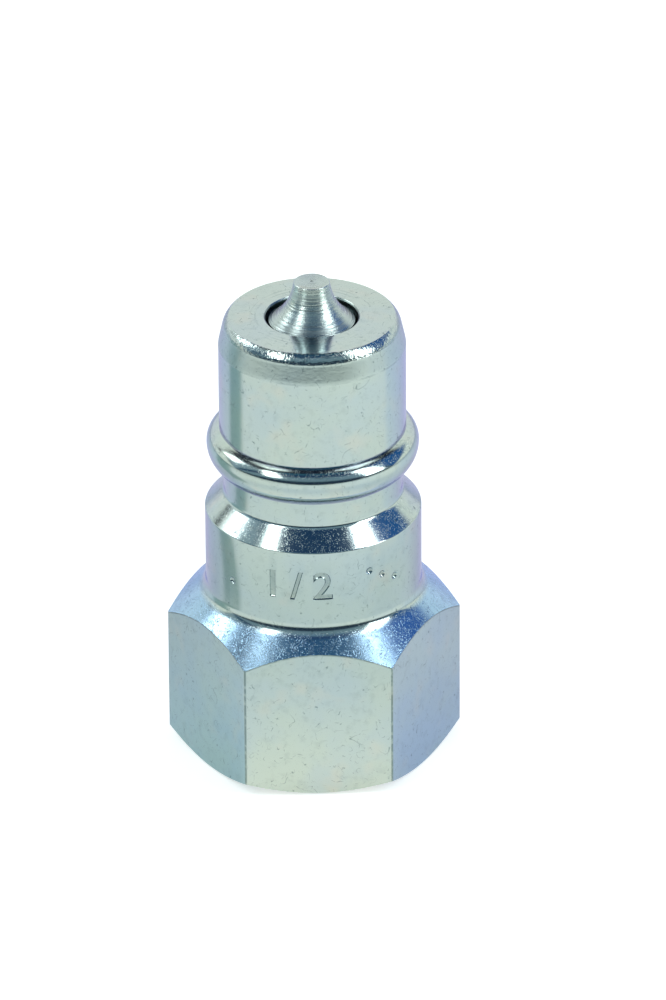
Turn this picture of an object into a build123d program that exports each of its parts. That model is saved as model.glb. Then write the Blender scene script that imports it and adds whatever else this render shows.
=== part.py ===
from build123d import *
import os
from math import cos, radians, sin, sqrt, tan

# Half of a quick coupling for half inch hydraulic line, the nipple with its valve.
# Millimetres. The axis is +Z, the end face of the hexagon is at Z = 0,
# and one flat of the hexagon faces -Y.

# Hexagon and shoulder
hex_flats = 28.0
hex_corner_rounding = 0.3
end_face_radius = 13.7
end_chamfer_angle = 30.0
shoulder_height = 17.8
shoulder_angle = 45.0
shoulder_fillet = 0.8

# Collar, ball groove and locking bead
collar_radius = 11.9
collar_length = 9.05
collar_edge_chamfer = 0.15
groove_radius = 9.8
groove_length = 2.85
groove_cone_angle = 45.0
groove_relief = 0.2
bead_radius = 11.65
bead_lower_arc = 3.28
bead_upper_arc = 1.85

# Nose
nose_radius = 10.25
nose_length = 13.354
nose_taper_length = 2.1
nose_taper_angle = 13.4
nose_edge_height = 1.1
nose_face_radius = 9.1

# Port for a G 1/2 thread, bored to its minor diameter
port_minor_diameter = 18.631
port_mouth_radius = 10.6
port_depth = 14.5

# Bores above the port
pocket_radius = 8.75
pocket_length = 4.5
chamber_radius = 7.8
front_bore_radius = 5.1
front_bore_length = 5.6
front_bore_chamfer = 0.15
seat_angle = 45.0

# Poppet valve
valve_travel = 5.5
tip_radius = 2.03
tip_height = 4.15
flare_arc = 7.2
flare_radius = 4.25
flare_depth = 0.45
flare_rim = 0.6
land_clearance = 0.28
lip_clearance = 0.08
flange_radius = 6.6
flange_thickness = 2.5
flange_chamfer = 0.3
spigot_length = 2.2
shank_radius = 3.5
stem_radius = 2.5
stem_engagement = 5.0
stem_chamfer = 0.4
stop_gap = 0.3

# Seal on the poppet, its round section drawn with flat sides
seal_section_radius = 0.8
seal_sides = 8
seal_ring_radius = 5.25
seal_squeeze_gap = 0.02
seal_groove_play = 0.05

# Spring
coil_radius = 5.2
wire_radius = 0.65
active_turns = 4
closed_turns = 1
closed_gap = 0.04
ease_turns = 0.5
points_per_turn = 12
wire_sides = 6
spring_play = 0.35
spring_seat_gap = 0.03

# Guide that carries the stem and the spring
guide_thickness = 2.0
guide_play = 0.04
guide_rim_width = 1.7
guide_arm_width = 3.2
guide_arms = 3
guide_window_rounding = 0.6
hub_length = 8.0
hub_chamfer = 0.4
stem_play = 0.05

# Open flat ring that holds the guide in its pocket, with two ears for pliers
ring_thickness = 1.2
ring_width = 1.5
ring_bite = 0.5
ring_play = 0.04
ring_gap = 3.6
ear_radius = 1.25
ear_hole_radius = 0.6

# Heights and radii that follow from the sizes above
hex_corner_radius = hex_flats / 2 / cos(radians(30))
end_chamfer_height = (hex_corner_radius - end_face_radius) * tan(radians(end_chamfer_angle))
shoulder_slope = tan(radians(shoulder_angle))
shoulder_corner_height = shoulder_height - (hex_corner_radius - hex_flats / 2) * shoulder_slope
collar_foot = shoulder_height + (hex_flats / 2 - collar_radius) * shoulder_slope
collar_top = collar_foot + collar_length
groove_foot = collar_top + (collar_radius - groove_radius) * tan(radians(groove_cone_angle))
groove_top = groove_foot + groove_length
bead_height = groove_top + sqrt(bead_lower_arc**2 - (bead_lower_arc - bead_radius + groove_radius) ** 2)
bead_top = bead_height + sqrt(bead_upper_arc**2 - (bead_upper_arc - bead_radius + nose_radius) ** 2)
nose_face = bead_top + nose_length
taper_top = nose_face - nose_edge_height
taper_foot = taper_top - nose_taper_length
taper_top_radius = nose_radius - nose_taper_length * tan(radians(nose_taper_angle))

port_radius = port_minor_diameter / 2
pocket_top = port_depth + pocket_length
seat_top = nose_face - front_bore_length
seat_slope = tan(radians(seat_angle))
seat_foot = seat_top - (chamber_radius - front_bore_radius) * seat_slope

guide_foot = pocket_top - guide_thickness
guide_radius = pocket_radius - guide_play
hub_radius = coil_radius - wire_radius - spring_play
hub_top = guide_foot + hub_length
ring_foot = guide_foot - ring_play / 2 - ring_thickness
ring_radius = pocket_radius + ring_bite
ear_place = pocket_radius - ear_radius - ring_play
ear_side = ring_gap / 2 + ear_radius
ear_depth = -sqrt(ear_place**2 - ear_side**2)

land_radius = front_bore_radius - land_clearance
lip_top = seat_top + (front_bore_radius - land_radius) * seat_slope
lip_top -= lip_clearance / cos(radians(seat_angle))
seal_height = seat_top - (seal_ring_radius - front_bore_radius) * seat_slope
seal_height -= (seal_section_radius + seal_squeeze_gap) / cos(radians(seat_angle))
seal_groove_top = seal_height + seal_section_radius + seal_groove_play
seal_groove_foot = seal_height - seal_section_radius - seal_groove_play
seal_groove_radius = seal_ring_radius - seal_section_radius - seal_groove_play / 2
lip_foot_radius = land_radius + (lip_top - seal_groove_top) / seat_slope
flange_foot = seal_groove_foot - flange_thickness
spigot_foot = flange_foot - spigot_length
shank_foot = hub_top + valve_travel + stop_gap
stem_foot = hub_top - stem_engagement
tip_top = nose_face + tip_height
flare_foot = nose_face - flare_depth
land_top = flare_foot - flare_rim - (land_radius - flare_radius)

spring_foot = pocket_top
spring_top = flange_foot - spring_seat_gap


# Nipple body, turned from one hexagon bar
with BuildPart() as nipple_body:
    # Turned outside, from the end face up to the nose
    with BuildSketch(Plane.XZ) as turned:
        with BuildLine():
            Polyline(
                (0, 0),
                (end_face_radius, 0),
                (hex_corner_radius, end_chamfer_height),
                (hex_corner_radius, shoulder_corner_height),
                (collar_radius, collar_foot),
                (collar_radius, collar_top),
                (groove_radius, groove_foot),
                (groove_radius, groove_top),
            )
            CenterArc(
                (bead_radius - bead_lower_arc, bead_height),
                bead_lower_arc,
                0,
                -Vector(groove_radius - bead_radius + bead_lower_arc, bead_height - groove_top)
                .get_angle(Vector(1, 0)),
            )
            upper = CenterArc(
                (bead_radius - bead_upper_arc, bead_height),
                bead_upper_arc,
                0,
                Vector(nose_radius - bead_radius + bead_upper_arc, bead_top - bead_height)
                .get_angle(Vector(1, 0)),
            )
            taper = Polyline(
                upper @ 1,
                (nose_radius, taper_foot),
                (taper_top_radius, taper_top),
            )
            edge = TangentArc(taper @ 1, (nose_face_radius, nose_face), tangent=taper % 1)
            Polyline(edge @ 1, (0, nose_face), (0, 0))
        make_face()
        fillet(turned.vertices().sort_by_distance((collar_radius, collar_foot))[0], shoulder_fillet)
        chamfer(turned.vertices().sort_by_distance((collar_radius, collar_top))[0], collar_edge_chamfer)
        chamfer(turned.vertices().sort_by_distance((groove_radius, groove_foot))[0], groove_relief)
    revolve(axis=Axis.Z)
    # Flats of the hexagon bar
    with BuildSketch(Plane.XY):
        bar = RegularPolygon(hex_flats / 2, side_count=6, major_radius=False)
        fillet(bar.vertices(), hex_corner_rounding)
    extrude(amount=nose_face, mode=Mode.INTERSECT)
    # Bores, from the port mouth up to the front bore
    with BuildSketch(Plane.XZ):
        with BuildLine():
            Polyline(
                (0, 0),
                (port_mouth_radius, 0),
                (port_radius, port_mouth_radius - port_radius),
                (port_radius, port_depth),
                (pocket_radius, port_depth),
                (pocket_radius, pocket_top),
                (chamber_radius, pocket_top),
                (chamber_radius, seat_foot),
                (front_bore_radius, seat_top),
                (front_bore_radius, nose_face - front_bore_chamfer),
                (front_bore_radius + front_bore_chamfer, nose_face),
                (0, nose_face),
                close=True,
            )
        make_face()
    revolve(axis=Axis.Z, mode=Mode.SUBTRACT)
    # Groove for the retaining ring
    with BuildSketch(Plane.XY.offset(ring_foot - ring_play)):
        Circle(ring_radius + ring_play)
        Circle(pocket_radius - ring_play, mode=Mode.SUBTRACT)
    extrude(amount=ring_thickness + 2 * ring_play, mode=Mode.SUBTRACT)
nipple_body.part.label = "nipple_body"


# Poppet valve, with its flared tip standing out of the nose
with BuildPart() as poppet_valve:
    with BuildSketch(Plane.XZ) as half_section:
        with BuildLine():
            head = Polyline((0, tip_top), (tip_radius, tip_top))
            flare = RadiusArc(head @ 1, (flare_radius, flare_foot), -flare_arc)
            Polyline(
                flare @ 1,
                (flare_radius, flare_foot - flare_rim),
                (land_radius, land_top),
                (land_radius, lip_top),
                (lip_foot_radius, seal_groove_top),
                (seal_groove_radius, seal_groove_top),
                (seal_groove_radius, seal_groove_foot),
                (flange_radius, seal_groove_foot),
                (flange_radius, flange_foot),
                (hub_radius, flange_foot),
                (hub_radius, spigot_foot),
                (shank_radius, spigot_foot - (hub_radius - shank_radius)),
                (shank_radius, shank_foot),
                (stem_radius, shank_foot),
                (stem_radius, stem_foot),
                (0, stem_foot),
                (0, tip_top),
            )
        make_face()
        chamfer(half_section.vertices().sort_by_distance((stem_radius, stem_foot))[0], stem_chamfer)
        chamfer(half_section.vertices().sort_by_distance((flange_radius, seal_groove_foot))[0], flange_chamfer)
    revolve(axis=Axis.Z)
poppet_valve.part.label = "poppet_valve"


# Rubber ring in the groove of the poppet, on the seat of the body
with BuildPart() as poppet_seal:
    with BuildSketch(Plane.XZ):
        with Locations((seal_ring_radius, seal_height)):
            RegularPolygon(seal_section_radius, side_count=seal_sides, rotation=180 / seal_sides)
    revolve(axis=Axis.Z)
poppet_seal.part.label = "poppet_seal"


# Guide with three arms, a rim in the pocket and a long hub for the stem
with BuildPart() as valve_guide:
    with BuildSketch(Plane.XY.offset(guide_foot)):
        Circle(guide_radius)
        Circle(guide_radius - guide_rim_width, mode=Mode.SUBTRACT)
        Circle(hub_radius)
        with PolarLocations(guide_radius / 2, guide_arms, start_angle=90):
            Rectangle(guide_radius - guide_rim_width / 2, guide_arm_width)
    extrude(amount=guide_thickness)
    fillet(
        valve_guide.edges()
        .filter_by(Axis.Z)
        .filter_by(lambda e: hub_radius / 2 < Vector(e.center().X, e.center().Y).length),
        guide_window_rounding,
    )
    with BuildSketch(Plane.XY.offset(guide_foot)):
        Circle(hub_radius)
    extrude(amount=hub_length)
    chamfer(valve_guide.faces().sort_by(Axis.Z)[-1].edges(), hub_chamfer)
    with BuildSketch(Plane.XY.offset(guide_foot)):
        Circle(stem_radius + stem_play)
    extrude(amount=hub_length, mode=Mode.SUBTRACT)
valve_guide.part.label = "valve_guide"


# Spring with closed ends, ground flat on the guide and under the poppet's flange
total_turns = active_turns + 2 * closed_turns
closed_pitch = 2 * wire_radius + closed_gap


def open_share(turn):
    # 0 in the closed turns, 1 in the open ones, with a smooth change between them
    from_end = min(turn, total_turns - turn)
    rise = min(max((from_end - closed_turns) / ease_turns + 0.5, 0), 1)
    return rise * rise * (3 - 2 * rise)


coil_steps = round(total_turns * points_per_turn)
shares = [open_share((step + 0.5) / points_per_turn) for step in range(coil_steps)]
spring_length = spring_top - spring_foot
open_pitch = (spring_length - closed_pitch * total_turns) * points_per_turn / sum(shares)
coil_points = [Vector(coil_radius, 0, spring_foot)]
for step in range(coil_steps):
    angle = radians(360 * (step + 1) / points_per_turn)
    rise = (closed_pitch + open_pitch * shares[step]) / points_per_turn
    coil_points.append(Vector(coil_radius * cos(angle), coil_radius * sin(angle), coil_points[-1].Z + rise))

with BuildPart() as valve_spring:
    with BuildLine() as coil:
        Spline(coil_points)
    with BuildSketch(Plane(origin=coil.wire() @ 0, z_dir=coil.wire() % 0)):
        RegularPolygon(wire_radius, side_count=wire_sides)
    sweep(path=coil.wire(), is_frenet=True)
    with BuildSketch(Plane.XY.offset(spring_foot)):
        Circle(coil_radius + 2 * wire_radius)
    extrude(amount=spring_length, mode=Mode.INTERSECT)
valve_spring.part.label = "valve_spring"


# Open flat ring under the guide
with BuildPart() as retaining_ring:
    with BuildSketch(Plane.XY.offset(ring_foot)):
        Circle(ring_radius)
        Circle(ring_radius - ring_width, mode=Mode.SUBTRACT)
        with Locations((-ear_side, ear_depth), (ear_side, ear_depth)):
            Circle(ear_radius)
            Circle(ear_hole_radius, mode=Mode.SUBTRACT)
        with Locations((0, -ring_radius)):
            Rectangle(ring_gap, 2 * ring_width + 2 * ear_radius, mode=Mode.SUBTRACT)
    extrude(amount=ring_thickness)
retaining_ring.part.label = "retaining_ring"


os.makedirs("parts", exist_ok=True)
for piece in (nipple_body, poppet_valve, poppet_seal, valve_guide, valve_spring, retaining_ring):
    export_step(piece.part, f"parts/{piece.part.label}.step")
    print(piece.part.label, round(piece.part.volume, 1), piece.part.bounding_box())
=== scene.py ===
from math import acos, cos, pi, radians, sin, sqrt, tan

import bpy
from mathutils import Matrix, Vector


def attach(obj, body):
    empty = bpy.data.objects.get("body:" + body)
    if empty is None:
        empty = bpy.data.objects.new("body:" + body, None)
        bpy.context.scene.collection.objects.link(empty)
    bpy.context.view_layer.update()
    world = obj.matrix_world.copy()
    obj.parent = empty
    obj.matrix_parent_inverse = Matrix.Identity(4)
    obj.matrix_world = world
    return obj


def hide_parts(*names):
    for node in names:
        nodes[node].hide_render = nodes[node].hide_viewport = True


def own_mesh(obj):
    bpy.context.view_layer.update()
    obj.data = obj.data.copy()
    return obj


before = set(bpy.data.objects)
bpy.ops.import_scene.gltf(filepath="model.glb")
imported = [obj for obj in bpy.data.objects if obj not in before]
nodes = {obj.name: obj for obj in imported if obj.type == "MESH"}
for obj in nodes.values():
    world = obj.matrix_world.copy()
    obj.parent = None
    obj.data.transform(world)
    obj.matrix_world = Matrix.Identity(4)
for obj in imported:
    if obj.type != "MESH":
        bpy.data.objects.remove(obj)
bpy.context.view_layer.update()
mm = 0.001
axisPoint = (0, 0, 0)
weldDistance = 0.002
smoothingAngle = 24


# Small helpers for modelling
def deselectAll():
    if bpy.context.object and bpy.context.object.mode != "OBJECT":
        bpy.ops.object.mode_set(mode="OBJECT")
    bpy.ops.object.select_all(action="DESELECT")


def pickOnly(piece):
    deselectAll()
    piece.select_set(True)
    bpy.context.view_layer.objects.active = piece


def applyPlace(piece):
    pickOnly(piece)
    bpy.ops.object.transform_apply(location=True, rotation=True, scale=True)


def applyModifier(piece, modifier):
    pickOnly(piece)
    bpy.ops.object.modifier_apply(modifier=modifier.name)


def cutWith(piece, tool, operation):
    # Cuts a closed mesh with another, or keeps their overlap, then drops the tool
    boolean = piece.modifiers.new("cut", "BOOLEAN")
    boolean.operation = operation
    boolean.solver = "EXACT"
    boolean.object = tool
    applyModifier(piece, boolean)
    bpy.data.objects.remove(tool)


def smoothByAngle(piece, angle):
    pickOnly(piece)
    bpy.ops.object.shade_smooth_by_angle(angle=radians(angle))


def closeEnds():
    # Fills the open rings of the mesh in edit mode
    bpy.ops.mesh.select_all(action="DESELECT")
    bpy.ops.mesh.select_non_manifold()
    bpy.ops.mesh.fill_holes(sides=0)
    bpy.ops.mesh.select_all(action="SELECT")


def turnFacesOut():
    bpy.ops.mesh.select_all(action="SELECT")
    bpy.ops.mesh.normals_make_consistent(inside=False)
    bpy.ops.object.mode_set(mode="OBJECT")


def turnOnLathe(name, outline, steps):
    # A ring is pulled along the outline of (radius, height) points, as a lathe tool moves
    deselectAll()
    radius, height = outline[0]
    bpy.ops.mesh.primitive_circle_add(vertices=steps, radius=radius * mm, location=(0, 0, height * mm))
    piece = bpy.context.object
    piece.name = name
    applyPlace(piece)
    bpy.ops.object.mode_set(mode="EDIT")
    bpy.ops.mesh.select_all(action="SELECT")
    for nextRadius, nextHeight in outline[1:]:
        rise = (nextHeight - height) * mm
        bpy.ops.mesh.extrude_edges_move(TRANSFORM_OT_translate={"value": (0, 0, rise)})
        share = nextRadius / radius
        bpy.ops.transform.resize(value=(share, share, 1), center_override=axisPoint)
        radius, height = nextRadius, nextHeight
    bpy.ops.mesh.select_all(action="SELECT")
    bpy.ops.mesh.remove_doubles(threshold=weldDistance * mm)
    closeEnds()
    turnFacesOut()
    return piece


def arcPoints(centre, radius, fromAngle, toAngle, steps):
    # Points of an arc in the (radius, height) half plane, angles in degrees from the outward direction
    turns = [radians(fromAngle + (toAngle - fromAngle) * step / steps) for step in range(steps + 1)]
    return [(centre[0] + radius * cos(turn), centre[1] + radius * sin(turn)) for turn in turns]


def arcBetween(centre, start, end, steps):
    # Points of an arc whose two ends are given from its centre
    opening = start.angle(end)
    points = []
    for step in range(steps + 1):
        share = step / steps
        offset = (start * sin((1 - share) * opening) + end * sin(share * opening)) / sin(opening)
        points.append(tuple(centre + offset))
    return points


def roundCorner(before, corner, after, radius, steps):
    # The points of a fillet that replaces a sharp corner of an outline
    corner = Vector(corner)
    toBefore = (Vector(before) - corner).normalized()
    toAfter = (Vector(after) - corner).normalized()
    half = toBefore.angle(toAfter) / 2
    centre = corner + (toBefore + toAfter).normalized() * (radius / sin(half))
    start = corner + toBefore * (radius / tan(half)) - centre
    end = corner + toAfter * (radius / tan(half)) - centre
    return arcBetween(centre, start, end, steps)


# Nipple body
body = {
    "steps": 192,
    "hexFlats": 28.0,
    "hexCornerRounding": 0.3,
    "hexCornerSegments": 4,
    "barSpare": 2,
    "turningOvershoot": 0.2,
    "endFaceRadius": 13.7,
    "endChamferAngle": 30.0,
    "shoulderHeight": 17.8,
    "shoulderAngle": 41.0,
    "shoulderFillet": 2.2,
    "shoulderSteps": 10,
    "collarRadius": 11.9,
    "collarLength": 9.05,
    "collarEdge": 0.25,
    "collarEdgeSteps": 5,
    "grooveRadius": 9.8,
    "grooveLength": 2.85,
    "grooveFillet": 0.8,
    "grooveSteps": 6,
    "beadRadius": 11.65,
    "beadLowerArc": 3.28,
    "beadUpperArc": 1.85,
    "beadSteps": 12,
    "noseRadius": 10.25,
    "noseLength": 13.354,
    "taperLength": 2.1,
    "taperAngle": 12.4,
    "taperBlend": 2.5,
    "taperBlendSteps": 4,
    "taperHolds": (0.25, 0.93),
    "edgeHeight": 1.1,
    "edgeSteps": 8,
    "faceRadius": 9.1,
    "portMouthRadius": 10.6,
    "portRadius": 9.3155,
    "portDepth": 14.5,
    "pocketRadius": 8.75,
    "pocketTop": 19.0,
    "chamberRadius": 7.8,
    "frontBoreRadius": 5.1,
    "frontBoreLength": 5.6,
    "frontBoreChamfer": 0.15,
    "ringGrooveFoot": 15.74,
    "ringGrooveTop": 17.02,
    "ringGrooveRadius": 9.29,
}
hexCornerRadius = body["hexFlats"] / 2 / cos(pi / 6)
collarFoot = body["shoulderHeight"] + body["hexFlats"] / 2 - body["collarRadius"]
collarTop = collarFoot + body["collarLength"]
shoulderSlope = tan(radians(body["shoulderAngle"]))
shoulderRise = body["shoulderHeight"] + body["hexFlats"] / 2 + hexCornerRadius * (shoulderSlope - 1)
grooveFoot = collarTop + body["collarRadius"] - body["grooveRadius"]
grooveTop = grooveFoot + body["grooveLength"]
beadLowerCentre = body["beadRadius"] - body["beadLowerArc"]
beadHeight = grooveTop + sqrt(body["beadLowerArc"] ** 2 - (body["grooveRadius"] - beadLowerCentre) ** 2)
beadUpperCentre = body["beadRadius"] - body["beadUpperArc"]
beadTop = beadHeight + sqrt(body["beadUpperArc"] ** 2 - (body["noseRadius"] - beadUpperCentre) ** 2)
noseFace = beadTop + body["noseLength"]
taperTop = noseFace - body["edgeHeight"]
taperTopRadius = body["noseRadius"] - body["taperLength"] * tan(radians(body["taperAngle"]))


def bodyOutline():
    # Up the outside from the end face, over the nose and down the bores
    endFoot = (body["endFaceRadius"], 0)
    reach = hexCornerRadius + body["turningOvershoot"]
    endCorner = (reach, (reach - body["endFaceRadius"]) * tan(radians(body["endChamferAngle"])))
    shoulderCorner = (reach, shoulderRise - reach * shoulderSlope)
    foot = (body["collarRadius"], shoulderRise - body["collarRadius"] * shoulderSlope)
    top = (body["collarRadius"], collarTop)
    neck = (body["grooveRadius"], grooveFoot)
    neckTop = (body["grooveRadius"], grooveTop)
    lowerTurn = -acos((body["grooveRadius"] - beadLowerCentre) / body["beadLowerArc"]) * 180 / pi
    upperTurn = acos((body["noseRadius"] - beadUpperCentre) / body["beadUpperArc"]) * 180 / pi
    lower = arcPoints((beadLowerCentre, beadHeight), body["beadLowerArc"],
                      lowerTurn, 0, body["beadSteps"])
    upper = arcPoints((beadUpperCentre, beadHeight), body["beadUpperArc"],
                      0, upperTurn, body["beadSteps"])[1:]
    taperFoot = (body["noseRadius"], taperTop - body["taperLength"])
    taperEnd = (taperTopRadius, taperTop)
    taperRun = Vector(taperEnd) - Vector(taperFoot)
    taperHolds = [tuple(Vector(taperFoot) + taperRun * share) for share in body["taperHolds"]]
    # The edge arc leaves the taper along its own direction and ends on the nose face
    slope = radians(body["taperAngle"])
    inward = Vector((-cos(slope), -sin(slope)))
    chord = Vector((body["faceRadius"], noseFace)) - Vector(taperEnd)
    edgeArc = chord.length_squared / (2 * chord.dot(inward))
    centre = Vector(taperEnd) + inward * edgeArc
    endTurn = acos((body["faceRadius"] - centre.x) / edgeArc) * 180 / pi
    edge = arcPoints(centre, edgeArc, body["taperAngle"], endTurn, body["edgeSteps"])
    bore = body["frontBoreRadius"]
    seatTop = noseFace - body["frontBoreLength"]
    mouthHeight = body["portMouthRadius"] - body["portRadius"]
    outside = [
        endFoot, endCorner, shoulderCorner,
        *roundCorner(shoulderCorner, foot, top, body["shoulderFillet"], body["shoulderSteps"]),
        *roundCorner(foot, top, neck, body["collarEdge"], body["collarEdgeSteps"]),
        *roundCorner(top, neck, neckTop, body["grooveFillet"], body["grooveSteps"]),
        *lower, *upper,
        *roundCorner(upper[-1], taperFoot, taperEnd, body["taperBlend"], body["taperBlendSteps"]),
        *taperHolds,
        *edge,
    ]
    inside = [
        (bore + body["frontBoreChamfer"], noseFace),
        (bore, noseFace - body["frontBoreChamfer"]),
        (bore, seatTop),
        (body["chamberRadius"], seatTop - body["chamberRadius"] + bore),
        (body["chamberRadius"], body["pocketTop"]),
        (body["pocketRadius"], body["pocketTop"]),
        (body["pocketRadius"], body["ringGrooveTop"]),
        (body["ringGrooveRadius"], body["ringGrooveTop"]),
        (body["ringGrooveRadius"], body["ringGrooveFoot"]),
        (body["pocketRadius"], body["ringGrooveFoot"]),
        (body["pocketRadius"], body["portDepth"]),
        (body["portRadius"], body["portDepth"]),
        (body["portRadius"], mouthHeight),
        (body["portMouthRadius"], 0),
        endFoot,
    ]
    return outside + inside


def hexagonBar(topHeight):
    # The bar the part is turned from, with one flat to -Y and slightly rounded corners
    deselectAll()
    length = topHeight + 2 * body["barSpare"]
    bpy.ops.mesh.primitive_cylinder_add(
        vertices=6, radius=hexCornerRadius * mm, depth=length * mm,
        location=(0, 0, (length / 2 - body["barSpare"]) * mm), rotation=(0, 0, pi / 6))
    bar = bpy.context.object
    applyPlace(bar)
    for edge in bar.data.edges:
        first, second = (bar.data.vertices[index].co for index in edge.vertices)
        edge.select = abs(first.z - second.z) > mm
    bpy.ops.object.mode_set(mode="EDIT")
    bpy.ops.mesh.select_mode(type="EDGE")
    bpy.ops.mesh.bevel(offset=body["hexCornerRounding"] * tan(pi / 6) * mm,
                       segments=body["hexCornerSegments"])
    bpy.ops.object.mode_set(mode="OBJECT")
    return bar


nippleBody = turnOnLathe("nipple_body_turned", bodyOutline(), body["steps"])
cutWith(nippleBody, hexagonBar(noseFace), "INTERSECT")
print("nipple body turned,", len(nippleBody.data.polygons), "faces")

# Port thread: a helical groove cut outwards from the bore
thread = {
    "pitch": 1.814,
    "majorRadius": 10.4775,
    "rootWidth": 0.22,
    "mouthWidth": 1.72,
    "mouthRadius": 9.0,
    "firstHeight": -2.4,
    "turns": 8.2,
    "stepsPerTurn": 48,
}


def threadCutter():
    mouth, root = thread["mouthWidth"] / 2, thread["rootWidth"] / 2
    inner, outer = thread["mouthRadius"], thread["majorRadius"]
    corners = [(inner, -mouth), (outer, -root), (outer, root), (inner, mouth)]
    deselectAll()
    bpy.ops.mesh.primitive_circle_add(vertices=len(corners), radius=mm)
    cutter = bpy.context.object
    for vertex, (radius, height) in zip(cutter.data.vertices, corners):
        vertex.co = (radius * mm, 0, (height + thread["firstHeight"]) * mm)
    screw = cutter.modifiers.new("helix", "SCREW")
    screw.axis = "Z"
    screw.angle = 2 * pi * thread["turns"]
    screw.screw_offset = thread["pitch"] * thread["turns"] * mm
    screw.steps = screw.render_steps = round(thread["turns"] * thread["stepsPerTurn"])
    applyModifier(cutter, screw)
    bpy.ops.object.mode_set(mode="EDIT")
    closeEnds()
    turnFacesOut()
    return cutter


cutWith(nippleBody, threadCutter(), "DIFFERENCE")
print("port thread cut,", len(nippleBody.data.polygons), "faces")

# Size marks stamped into the collar, each character set square on the round
marks = {
    "height": 24.7,
    "size": 4.6,
    "thinning": -0.1,
    "rounding": 0.2,
    "roundingSteps": 2,
    "curveSteps": 5,
    "weldDistance": 0.001,
    "characters": [("1", -24), ("/", -11), ("2", 3)],
    "dots": [(-50, 23.6), (29, 25.9), (37, 25.0), (46, 24.1)],
    "dotRadius": 0.5,
    "dotDepth": 0.24,
    "dotSegments": 20,
    "dotRings": 12,
}


def onCollar(turn, reach, height):
    return (Matrix.Rotation(radians(turn), 4, "Z")
            @ Matrix.Translation((0, -reach * mm, height * mm)))


def stampCharacter(character, turn):
    deselectAll()
    bpy.ops.object.text_add()
    stamp = bpy.context.object
    stamp.data.body = character
    stamp.data.align_x = "CENTER"
    stamp.data.align_y = "CENTER"
    stamp.data.size = marks["size"] * mm
    stamp.data.offset = marks["thinning"] * mm
    stamp.data.bevel_depth = marks["rounding"] * mm
    stamp.data.bevel_resolution = marks["roundingSteps"]
    stamp.data.resolution_u = marks["curveSteps"]
    pickOnly(stamp)
    bpy.ops.object.convert(target="MESH")
    stamp = bpy.context.object
    bpy.ops.object.mode_set(mode="EDIT")
    bpy.ops.mesh.select_all(action="SELECT")
    bpy.ops.mesh.remove_doubles(threshold=marks["weldDistance"] * mm)
    turnFacesOut()
    stamp.matrix_world = (onCollar(turn, body["collarRadius"], marks["height"])
                          @ Matrix.Rotation(pi / 2, 4, "X"))
    applyPlace(stamp)
    return stamp


def stampDot(turn, height):
    deselectAll()
    bpy.ops.mesh.primitive_uv_sphere_add(
        segments=marks["dotSegments"], ring_count=marks["dotRings"], radius=marks["dotRadius"] * mm)
    dot = bpy.context.object
    reach = body["collarRadius"] + marks["dotRadius"] - marks["dotDepth"]
    dot.matrix_world = onCollar(turn, reach, height)
    applyPlace(dot)
    return dot


for character, turn in marks["characters"]:
    cutWith(nippleBody, stampCharacter(character, turn), "DIFFERENCE")
for turn, height in marks["dots"]:
    cutWith(nippleBody, stampDot(turn, height), "DIFFERENCE")
smoothByAngle(nippleBody, smoothingAngle)
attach(nippleBody, "body")
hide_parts("nipple_body")
print("marks stamped,", len(nippleBody.data.polygons), "faces")


# Poppet valve
poppet = {
    "steps": 128,
    "tipHeight": 4.15,
    "tipRadius": 1.98,
    "tipEdge": 0.08,
    "dimpleRadius": 0.12,
    "dimpleEdge": 0.2,
    "dimpleDepth": 0.05,
    "flareArc": 6.2,
    "flareRadius": 4.72,
    "flareSteps": 24,
    "flareDepth": 0.45,
    "flareRim": 0.6,
    "landRadius": 4.82,
    "lipTop": 46.567,
    "grooveTop": 46.237,
    "grooveFoot": 44.543,
    "grooveRadius": 4.425,
    "flangeRadius": 6.6,
    "flangeThickness": 2.5,
    "flangeChamfer": 0.3,
    "hubRadius": 4.2,
    "spigotLength": 2.2,
    "shankRadius": 3.5,
    "shankFoot": 30.8,
    "stemRadius": 2.5,
    "stemFoot": 20.0,
    "stemChamfer": 0.4,
    "stemCentre": 0.4,
}


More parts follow.
